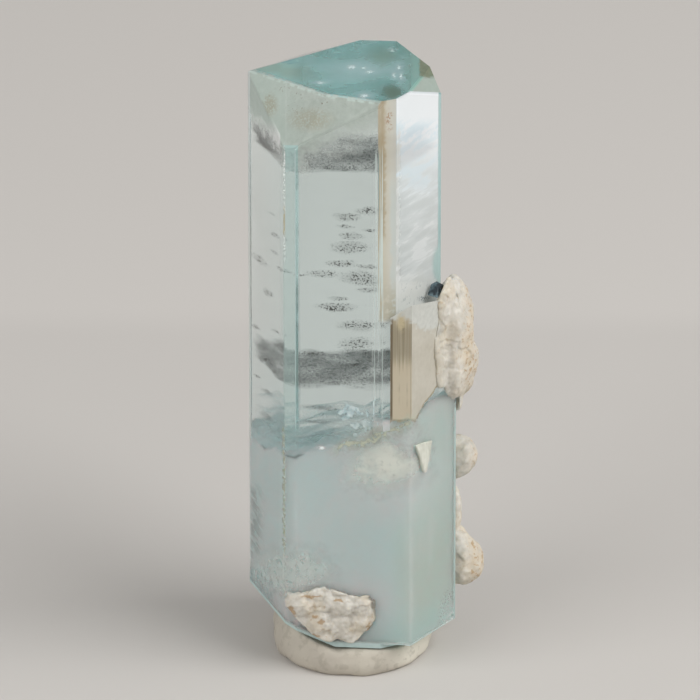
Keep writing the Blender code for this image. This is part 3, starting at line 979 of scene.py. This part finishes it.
# painted reflection: the discs are dark for the same reason as the veils
disc_film = film_look("disc_film", (0.07, 0.065, 0.055), 0.2, 0.9, uneven=0.3, edge=0.7)
wisp_film = film_look("pale_wisp", (0.84, 0.92, 0.92), 0.55, 0.2, patches=0.3, uneven=0.8)
print("film materials ready")

# %% [markdown]
# Light bends where it enters the stone, so a disc doesn't show where it is. Snell's law gives the
# direction of the view behind each upright face. Each disc is placed along that direction from the
# point of the face where it should show.


# %% Where a line of sight runs inside the stone
def inside(at):
    """The direction of the view once it has bent into the stone through an upright face."""
    ratio = 1.0 / BERYL_INDEX
    facing = -VIEW.dot(bearing(at))
    return ratio * VIEW + (ratio * facing - math.sqrt(1 - ratio**2 * (1 - facing**2))) * bearing(at)


def face_point(at, across, rise):
    """The point of an upright face with this x, whose rise is this. Both are in millimetres."""
    out = bearing(at)
    y = (upper_faces[at] - (across * MM - AXIS.x) * out.x) / out.y
    return Vector((across * MM, y, rise * MM - y * SLOPE))


def behind(at, across, rise, depth):
    """A point this many millimetres behind what is seen at a place on a face."""
    return face_point(at, across, rise) + inside(at) * depth * MM


print("view behind the front face:", [round(part, 3) for part in inside(270)])


# %% Film meshes
def sheet(name, reach_at, centre, material, wave=0.0, tilt=(0.0, 0.0), rings=4, spokes=28, seed=0.0):
    """A sheet inside the stone. reach_at gives its reach at an angle. Its UV is 0 at the rim."""
    bm = bmesh.new()
    bmesh.ops.create_circle(bm, cap_ends=True, cap_tris=True, segments=spokes, radius=1.0)
    spoke_edges = [edge for edge in bm.edges if not edge.is_boundary]
    bmesh.ops.subdivide_edges(bm, edges=spoke_edges, cuts=rings - 1, use_grid_fill=False)
    rim_map = bm.loops.layers.uv.new("rim")
    inward = {vert: 1.0 - vert.co.to_2d().length for vert in bm.verts}
    for vert in bm.verts:
        flat = vert.co.to_2d()
        angle = math.atan2(flat.y, flat.x)
        moved = Vector((math.cos(angle), math.sin(angle), 0.0)) * flat.length * reach_at(angle)
        moved.z = moved.x * tilt[0] + moved.y * tilt[1]
        moved.z += wave * MM * noise.noise(Vector((moved.x / MM * 0.3, moved.y / MM * 0.3, seed)))
        vert.co = centre + moved
    for face in bm.faces:
        for loop in face.loops:
            loop[rim_map].uv = (inward[loop.vert], 0.0)
    piece = made_object(name, bm, material)
    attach(piece, "root")


VEIL_SKIN = 0.25 * MM       # clear stone between a veil's rim and the crystal's faces


def prism_reach(angle):
    """How far the prism's section reaches at an angle from its axis, less a little skin."""
    ahead = Vector((math.cos(angle), math.sin(angle), 0.0))
    facing = {at: ahead.dot(bearing(at)) for at in upper_faces}
    return min(upper_faces[at] / part for at, part in facing.items() if part > 0.1) - VEIL_SKIN


FINE = {"rings": 12, "spokes": 56}      # a wide sheet needs a finer mesh than a disc
VEILS = (   # name, height and wave in millimetres, tilt to the right and to the back
    ("veil_upper", 47.5, 0.35, (0.0, 0.0)),
    ("veil_upper_second", 47.8, 0.5, (0.0, 0.02)),
    ("veil_lower", 27.1, 0.3, (0.0, 0.0)),
    ("veil_lower_second", 27.4, 0.4, (0.0, -0.02)),
)
for name, height, wave, tilt in VEILS:
    sheet(name, prism_reach, AXIS + UP * height * MM, wide_film, wave, tilt, seed=height, **FINE)
WISP_LIFTS = (0.5, 1.2, 2.2)            # mm above the cloud's uneven top
tilt = (-top_normal.x / top_normal.z, -top_normal.y / top_normal.z)
to_axis = AXIS - top_point
slope_centre = top_point.z + to_axis.x * tilt[0] + to_axis.y * tilt[1]
for count, lift in enumerate(WISP_LIFTS):
    centre = AXIS + UP * (slope_centre + lift * MM)
    sheet(f"wisp_{count}", prism_reach, centre, wisp_film, 1.1, tilt, seed=count, **FINE)
print("veils:", len(VEILS), "wisps:", len(WISP_LIFTS))

# %% Disc meshes
FRONT_DISCS = (   # across, rise, half width, half depth, depth behind the front face, in millimetres
    (-0.39, 40.3, 1.5, 1.9, 3.0), (1.35, 40.9, 1.5, 2.2, 4.5), (-0.65, 39.4, 1.2, 0.7, 2.5),
    (-0.04, 38.5, 1.25, 1.7, 5.0), (-0.22, 37.4, 2.3, 2.6, 4.0), (-1.15, 35.9, 1.9, 1.6, 3.0),
    (1.26, 35.6, 1.1, 0.9, 5.0), (0.7, 34.5, 2.3, 3.4, 5.0), (-1.16, 32.6, 1.3, 0.9, 2.5),
    (-1.41, 31.8, 2.0, 1.9, 3.5), (0.49, 30.0, 2.3, 2.5, 4.5), (0.48, 28.4, 2.1, 2.6, 5.0),
    (-3.09, 27.4, 2.0, 1.6, 4.0), (1.7, 27.5, 1.2, 2.4, 5.5), (-0.04, 26.3, 1.1, 0.8, 4.0),
    (-2.46, 34.9, 1.7, 2.0, 3.0), (-4.3, 34.8, 0.6, 0.4, 2.0), (1.5, 39.0, 0.9, 0.8, 4.0),
    (1.4, 33.4, 1.3, 1.0, 4.0), (-1.2, 24.6, 1.6, 0.9, 3.0), (-2.2, 22.1, 1.6, 0.7, 2.2),
)
LEFT_DISCS = (    # the same, behind the left face
    (-6.91, 40.6, 0.9, 0.6, 2.5), (-6.65, 38.6, 1.3, 0.9, 2.5), (-6.74, 37.0, 1.0, 0.9, 2.5),
    (-6.22, 35.4, 0.8, 0.8, 2.0), (-7.35, 33.2, 1.4, 1.3, 2.5), (-8.39, 29.9, 1.2, 1.0, 2.5),
    (-6.65, 29.5, 1.0, 0.8, 2.5), (-6.57, 28.2, 0.9, 0.8, 2.5), (-8.0, 36.3, 1.9, 2.1, 3.0),
    (-8.3, 25.2, 1.0, 0.7, 1.5),
)
FRONT_LENSES = ((-3.1, 22.35, 2.1, 1.1, 1.6), (-3.0, 20.9, 1.6, 0.9, 2.0))      # the same, but denser
LEFT_LENSES = (
    (-7.4, 23.7, 1.6, 1.1, 1.5), (-7.5, 21.4, 1.5, 1.5, 1.5),
    (-7.3, 27.0, 1.8, 1.7, 1.5), (-7.6, 28.0, 1.2, 1.0, 1.5),
)
WOBBLE = 0.35       # how far a rim strays from an ellipse, as a share of its reach


def wobbly(wide, deep, seed):
    """The reach of a rough ellipse at an angle."""
    def reach_at(angle):
        round_reach = wide * deep / math.hypot(deep * math.cos(angle), wide * math.sin(angle))
        stray = noise.noise(Vector((math.cos(angle), math.sin(angle), seed)))
        return round_reach * MM * (1.0 + WOBBLE * stray)
    return reach_at


DISC_GROUPS = (
    ("disc", 270, FRONT_DISCS, disc_film), ("disc", 210, LEFT_DISCS, disc_film),
    ("lens", 270, FRONT_LENSES, lens_film), ("lens", 210, LEFT_LENSES, lens_film),
)
for kind, at, discs, film_material in DISC_GROUPS:
    for count, (across, rise, wide, deep, depth) in enumerate(discs):
        centre = behind(at, across, rise, depth)
        reach_at = wobbly(wide, deep, count * 3.3)
        sheet(f"{kind}_{at}_{count}", reach_at, centre, film_material, wave=0.15, seed=count + at)
    print(kind, "behind the face at", at, "degrees:", len(discs))

# %% [markdown]
# ## A bright fracture
#
# Just above the cloud, behind the front face, a small crack holds air. It is not one flat film but a
# few shards at different angles, and each shows as a pale blue glint. They are thin cleaved chips of a
# pale glossy material that also glows a little: that glow is a painted highlight.

# %% Fracture shards
SHARD_DEPTH = 1.6           # mm behind the front face
SHARD_THICKNESS = 0.03      # half of it, in mm


def set_out(bm, sizes, turns, centre):
    """Stretches a small shape, turns it by degrees about each axis named, and moves it into place."""
    bmesh.ops.scale(bm, vec=sizes, verts=bm.verts)
    for degrees, axis in turns:
        bmesh.ops.rotate(bm, matrix=Matrix.Rotation(math.radians(degrees), 3, axis), verts=bm.verts)
    bmesh.ops.translate(bm, vec=centre, verts=bm.verts)
    return bm


crack = Look("air_crack")
crack_noise = crack.noise(1.5, detail=2.0)
crack_glint_colour = crack.mix(crack_noise.above(0.5, 0.3), (0.3, 0.5, 0.56), (0.92, 0.98, 0.98))
# painted highlight: the shards glow faintly in their own pale colour
glowing_crack_film = crack.shader(crack_glint_colour, Roughness=0.25, Emission_Color=crack_glint_colour, Emission_Strength=0.24)
crack_clear = crack.node("ShaderNodeBsdfTransparent", {}, {})
crack.finish(crack.blend(crack_noise.above(0.46, 0.06) * 0.5, crack_clear, glowing_crack_film))
SHARDS = (    # across, rise, half width, half height, turn about the view, lean, in mm and degrees
    (-1.05, 21.8, 0.28, 0.24, 45, 20), (-0.3, 22.0, 0.5, 0.5, 25, -30), (0.5, 21.8, 0.16, 0.55, -20, 15),
    (-0.5, 21.3, 0.5, 0.3, -30, 40), (1.05, 20.6, 0.16, 1.15, -14, -20), (1.4, 20.9, 0.1, 1.3, -7, 10),
    (1.85, 21.4, 0.08, 1.5, 0, 0), (-2.6, 18.4, 0.42, 0.28, 15, 20), (0.6, 19.6, 0.55, 0.16, 10, 30),
    (-1.6, 18.8, 0.5, 0.12, -12, 30), (0.2, 20.6, 0.35, 0.3, 40, -20),
)
for count, (across, rise, wide, tall, turn, lean) in enumerate(SHARDS):
    bm = bmesh.new()
    bmesh.ops.create_cube(bm, size=2 * MM)
    place = behind(270, across, rise, SHARD_DEPTH)
    set_out(bm, (wide, SHARD_THICKNESS, tall), ((turn, "Y"), (lean, "X")), place)
    shard = made_object(f"crack_{count}", bm, crack.material)
    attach(shard, "root")
print("shards:", len(SHARDS))

# %% [markdown]
# ## Albite and tack
#
# Albite grows as crowds of small blocky crystals, white to cream, with rust in its hollows and along
# its outer rim. The frame's solids give each piece its place and size. A copy of each is joined with a
# few more lumps, remeshed into small even quads, and pushed in and out by noise at several sizes: cell
# noise for the blocky grains, and plain noise for the skin.


# %% Rough bodies
def ball(centre, radii, lean=0.0, turn=0.0):
    """A ball stretched to its radii, leaned to the right and turned, in millimetres and degrees."""
    bm = bmesh.new()
    bmesh.ops.create_icosphere(bm, subdivisions=3, radius=1.0)
    return set_out(bm, Vector(radii) * MM, ((lean, "Y"), (turn, "Z")), Vector(centre) * MM)


def slab(outline, front, back):
    """A plate whose outline, in across and rise, lies between two depths, all in millimetres."""
    bm = bmesh.new()
    ring = [bm.verts.new(Vector((across, front, rise - front * SLOPE)) * MM) for across, rise in outline]
    face = bm.faces.new(ring)
    grown = bmesh.ops.extrude_face_region(bm, geom=[face])
    moved = [part for part in grown["geom"] if isinstance(part, bmesh.types.BMVert)]
    bmesh.ops.translate(bm, vec=Vector((0.0, back - front, 0.0)) * MM, verts=moved)
    bmesh.ops.recalc_face_normals(bm, faces=bm.faces)
    return bm


SWAY = 0.1          # mm: how far a rough body's outline wanders
SWAYS = 0.45        # how many times in a millimetre
SEED = 3            # noise_vector takes its offsets from the seed, which is the clock's if none is set
MIDDLING = 0.45     # about the mean distance to the middle of a cell
noise.seed_set(SEED)


def roughened(bm, blocks, cells, lumps, seed):
    """Pushes a fine mesh in and out. Each term is (how many in a millimetre, height in millimetres)."""
    bm.normal_update()
    shift = Vector((seed, 1.7 * seed, -seed))
    pushes = []
    for vert in bm.verts:
        place = vert.co / MM
        push = sum(high * noise.noise(place * many + shift) for many, high in lumps)
        push += sum(high * (MIDDLING - noise.voronoi(place * many + shift)[0][0]) for many, high in cells)
        for many, high in blocks:
            middle = noise.voronoi(place * many + shift)[1][0]
            push += high * noise.noise(middle * 3.7)
        sway = noise.noise_vector(place * SWAYS + shift) * SWAY
        pushes.append((vert.normal * push + sway) * MM)
    for vert, push in zip(bm.verts, pushes):
        vert.co += push
    return bm


def rough_piece(name, bm, voxel, grain, seed, material, slot, *nodes, passes=3):
    """A body remeshed, smoothed and roughened, that stands for CAD nodes. It stays off the floor."""
    fine_mesh = remeshed(bm, voxel * MM)
    for _ in range(passes):
        bmesh.ops.smooth_vert(
            fine_mesh, verts=fine_mesh.verts, factor=0.5, use_axis_x=True, use_axis_y=True, use_axis_z=True
        )
    roughened(fine_mesh, *grain, seed)
    for vert in fine_mesh.verts:
        vert.co.z = max(vert.co.z, cad_low.z)
    piece = made_object(name, fine_mesh, material)
    piece.data.shade_smooth()
    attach(piece, "root")
    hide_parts(*nodes)
    print(name, "faces:", len(piece.data.polygons))


# %% Albite material
def albite_look(name, rim_from, tone=1.0, stains=()):
    """Cream feldspar, rusty beyond this x, in a few specks elsewhere, and in the stains."""
    look = Look(name)
    broad = look.noise(0.35, detail=3.0)
    grains = look.noise(1.3, detail=3.0)
    specks = look.noise(3.2, detail=2.0)
    cream = look.mix(
        grains.above(0.5, 0.5), toned((0.6, 0.565, 0.49), tone), toned((0.82, 0.79, 0.72), tone)
    )
    warm = look.mix(broad.above(0.54, 0.2) * 0.45, cream, (0.72, 0.62, 0.46))
    rim = look.x.above(rim_from, 1.0)
    joined_on = look.x.below(7.9, 1.0) * look.z.above(14.0, 1.0)      # here it joins the creamy face
    warm = look.mix(joined_on * 0.7, warm, (0.57, 0.535, 0.45))
    rust_zone = (rim * 0.8 + broad.above(0.5, 0.1) * 0.5).least(1.0)
    rust_cover = (specks + rim * 0.05).above(0.64, 0.05) * rust_zone
    rusty = look.mix(rust_cover * 0.75, warm, (0.45, 0.3, 0.15))
    for across, rise, wide, tall in stains:
        lengths = (look.x + specks.sway(0.9), look.rise + grains.sway(0.9))
        stain = look.spot(across, rise, wide, tall, 0.8, along=lengths)
        rusty = look.mix(stain * 0.75, rusty, (0.38, 0.24, 0.11))
    edge_wash = look.mix(rim * grains.above(0.5, 0.2) * 0.35, rusty, (0.52, 0.37, 0.2))
    height = grains * 0.6 + specks * 0.4
    surface = look.shader(
        edge_wash, Roughness=0.55, Subsurface_Weight=0.35, Subsurface_Scale=0.8 * MM,
        Subsurface_Radius=(1.0, 0.85, 0.65), Normal=look.bump(height, 0.06 * MM, 0.8),
    )
    look.finish(surface)
    return look.material


rim_albite = albite_look("albite_rim", 9.7, tone=0.95)
knob_albite = albite_look("albite_knob", 10.3, tone=0.95)
FOOT_STAINS = (     # across, rise, half width, half height
    (-5.3, 2.6, 0.32, 0.6), (-3.26, 2.1, 0.35, 0.18), (-2.74, 1.7, 0.3, 0.2), (-3.26, 0.3, 0.45, 0.16),
    (-1.26, 3.75, 0.45, 0.14), (1.43, 1.15, 0.16, 0.5), (-3.6, 4.1, 0.9, 0.1),
)
foot_albite = albite_look("albite_patch", 12.0, tone=0.86, stains=FOOT_STAINS)
# Blocks, cells and lumps, each as (how many in a millimetre, height in millimetres).
BLOCKY = (((0.55, 0.16), (1.5, 0.09)), ((0.9, 0.08), (2.4, 0.035)), ((0.4, 0.22), (3.5, 0.025)))
KNOBBY = (((0.6, 0.14), (1.6, 0.07)), ((1.1, 0.05), (2.6, 0.03)), ((0.5, 0.12), (3.5, 0.02)))
PATCHY = (((0.9, 0.18), (2.4, 0.1)), ((0.9, 0.12), (2.4, 0.06)), ((0.6, 0.16), (3.5, 0.03)))
print("albite looks:", rim_albite.name, knob_albite.name, foot_albite.name)

# %% Albite on the right side
VOXEL = 0.1         # mm: the size of the quads of a rough body
GROWN_OVER = (    # swellings on the layer's right face: across, rise, half width, half height, depth
    (8.3, 29.2, 1.5, 5.6, 0.32), (8.0, 32.0, 1.2, 1.8, 0.32), (8.6, 26.4, 1.2, 2.6, 0.32),
    (8.4, 24.2, 0.8, 1.2, 0.32), (7.9, 28.4, 1.5, 3.6, 0.17), (7.7, 25.6, 1.0, 1.6, 0.15),
)
CORNER_HEIGHTS = (30.6, 27.4)       # two more swellings fill the hollow at the corner beside them
CORNER_RADII = (1.05, 1.3, 3.3)
LAYER_TURN = 330 + TURN - 270       # from the front to the layer's right face


def on_layer(across, rise):
    """A point of the layer's right face with this x and this rise, in millimetres."""
    out = bearing(330)
    y = (lower_faces[330] / MM - (across - AXIS.x / MM) * out.x) / out.y
    return Vector((across, y, rise - y * SLOPE))


lumps = [
    ball(on_layer(across, rise), (wide, deep, tall), turn=LAYER_TURN)
    for across, rise, wide, tall, deep in GROWN_OVER
]
lumps += [ball((8.75, -2.5, height), CORNER_RADII) for height in CORNER_HEIGHTS]
cluster = gathered(merged_copy("albite_cluster"), *lumps)
rough_piece("albite_growth", cluster, VOXEL, BLOCKY, 2.0, rim_albite, "albite", "albite_cluster", passes=22)
middle = gathered(merged_copy("albite_knob_middle"))
rough_piece("albite_middle", middle, VOXEL, KNOBBY, 5.0, knob_albite, "albite", "albite_knob_middle")
lower = gathered(merged_copy("albite_knob_lower"), ball((9.0, 1.4, 11.5), (0.55, 0.8, 2.6), -2))
rough_piece("albite_lower", lower, VOXEL, KNOBBY, 8.0, knob_albite, "albite", "albite_knob_lower")

# %% Albite patch at the foot
PATCH = (   # across and rise of its outline
    (-5.7, 4.02), (-4.57, 4.3), (-2.39, 4.88), (-0.65, 4.3), (0.65, 4.11), (1.35, 4.35), (2.06, 3.82),
    (2.16, 2.68), (1.85, 1.43), (1.0, 0.38), (-0.04, -0.48), (-1.09, -0.1), (-2.39, -0.29), (-3.43, 0.38),
    (-4.83, 1.72), (-5.7, 3.06),
)
PATCH_LUMPS = (     # across, rise, half width, half height
    (-4.3, 3.0, 1.1, 0.9), (-2.6, 3.6, 1.3, 1.0), (-2.9, 1.7, 1.2, 1.1), (-0.8, 3.0, 1.2, 1.0),
    (-0.9, 1.1, 1.2, 1.2), (0.9, 3.0, 0.9, 1.0), (0.7, 1.6, 0.8, 0.9),
)
PATCH_FRONT = -7.45         # mm: the plate's front and back, and where the lumps on it have their middle
PATCH_BACK = -6.3
LUMPS_AT = -7.4
LUMP_DEPTH = 0.45
patch_lumps = [
    ball((across, LUMPS_AT, rise - LUMPS_AT * SLOPE), (wide, LUMP_DEPTH, tall))
    for across, rise, wide, tall in PATCH_LUMPS
]
patch_body = gathered(slab(PATCH, PATCH_FRONT, PATCH_BACK), *patch_lumps)
rough_piece("albite_at_foot", patch_body, VOXEL, PATCHY, 11.0, foot_albite, "albite", "albite_foot")

# %% Albite tooth
tooth = Look("albite_tooth")
flutes = tooth.noise(3.0, detail=3.0, stretch=(1.0, 1.0, 14.0))
tooth_colour = tooth.mix(flutes.above(0.5, 0.3), (0.59, 0.6, 0.52), (0.74, 0.75, 0.66))
tooth_surface = tooth.shader(tooth_colour, Roughness=0.5, Normal=tooth.bump(flutes, 0.12 * MM, 0.9))
tooth.finish(tooth_surface)
TOOTH_SINKS = 0.16 * MM      # its back lies this deep in the layer
TOOTH_FLATTENED = 0.45
blade = merged_copy("albite_tooth")
layer_out = bearing(330)
for vert in blade.verts:
    proud_of_face = (vert.co - AXIS).dot(layer_out) - lower_faces[330]
    vert.co += layer_out * (proud_of_face * (TOOTH_FLATTENED - 1.0) - TOOTH_SINKS)
blade_grain = ((), ((2.0, 0.05),), ((1.5, 0.06),))
rough_piece("albite_blade", blade, 0.06, blade_grain, 3.0, tooth.material, "albite", "albite_tooth", passes=9)

# %% [markdown]
# ## Schorl chip
#
# Schorl is black tourmaline: a hard, glossy prism with fine lines along it. A broken chip of it is
# caught on the ledge. Its edges are bevelled, so that they catch the light.

# %% Schorl
CHIP_EDGE = 0.06 * MM
schorl = Look("schorl")
ridges = schorl.noise(5.0, detail=2.0, stretch=(1.0, 1.0, 12.0))
worn = schorl.noise(2.0, detail=3.0)
bluish = worn.above(0.42, 0.3) * schorl.spot(6.9, 32.6, 0.7, 0.5, 0.9)
black = schorl.mix(bluish.most(worn.above(0.56, 0.2) * 0.6), (0.025, 0.04, 0.05), (0.2, 0.29, 0.33))
schorl.finish(schorl.shader(black, Roughness=0.22, Normal=schorl.bump(ridges, 0.04 * MM, 0.8)))
bm = merged_copy("schorl_chip")
chip = made_object("schorl_prism", bevelled(bm, bm.edges[:], CHIP_EDGE), schorl.material)
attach(chip, "root")
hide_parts("schorl_chip")
print("schorl faces:", len(chip.data.polygons))

# %% [markdown]
# ## Mineral tack
#
# The dab of tack was rolled, pressed down and squeezed up by the crystal. It is soft and matt, with
# shallow dents from fingers and a little dirt. The frame's puck is remeshed and dented by broad noise.

# %% Tack
tack = Look("mineral_tack")
broad = tack.noise(0.22, detail=3.0)
lint = tack.noise(1.5, detail=4.0)
clean = tack.mix(broad.above(0.5, 0.5), (0.48, 0.44, 0.375), (0.56, 0.52, 0.44))
lit_side = tack.mix(tack.x.above(3.6, 3.0) * 0.8, clean, (0.76, 0.72, 0.62))
soiled = tack.mix(lint.above(0.58, 0.12) * 0.4, lit_side, (0.36, 0.33, 0.27))
tack.finish(tack.shader(soiled, Roughness=0.85, Normal=tack.bump(lint, 0.08 * MM, 0.6)))
dented = ((), (), ((0.16, 0.35), (0.5, 0.12), (1.6, 0.04)))
pad = merged_copy("tack_pad")
rough_piece("tack_dab", pad, 2 * VOXEL, dented, 4.0, tack.material, "mineral_tack", "tack_pad")
